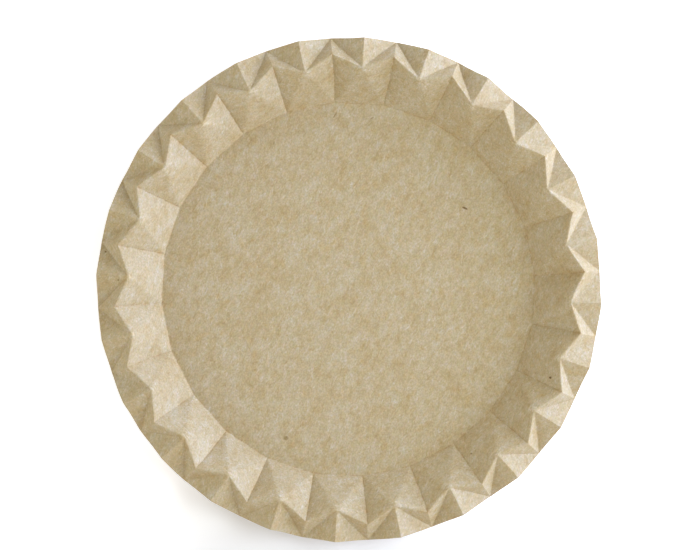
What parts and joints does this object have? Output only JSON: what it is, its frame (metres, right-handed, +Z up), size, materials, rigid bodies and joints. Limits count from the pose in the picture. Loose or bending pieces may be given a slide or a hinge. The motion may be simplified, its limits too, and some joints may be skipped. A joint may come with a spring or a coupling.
{
  "type": "paper plate",
  "caption": "Round kraft-paper plate with a flat floor, a sloping wall and a pleated rim of flat triangular facets, folded from a single sheet, for serving food.",
  "frame": {"origin": "middle of the underside of the floor, on the surface that the plate rests on", "axes": "+Z up along the plate's axis, out of its open side; +X through the fold where two pleats meet; +Y a quarter turn on, through another such fold"},
  "size_m": [0.23, 0.23, 0.018],
  "materials": {
    "kraft_board": "matte"
  },
  "bodies": {
    "root": {"plate": "kraft_board"}
  },
  "joints": []
}
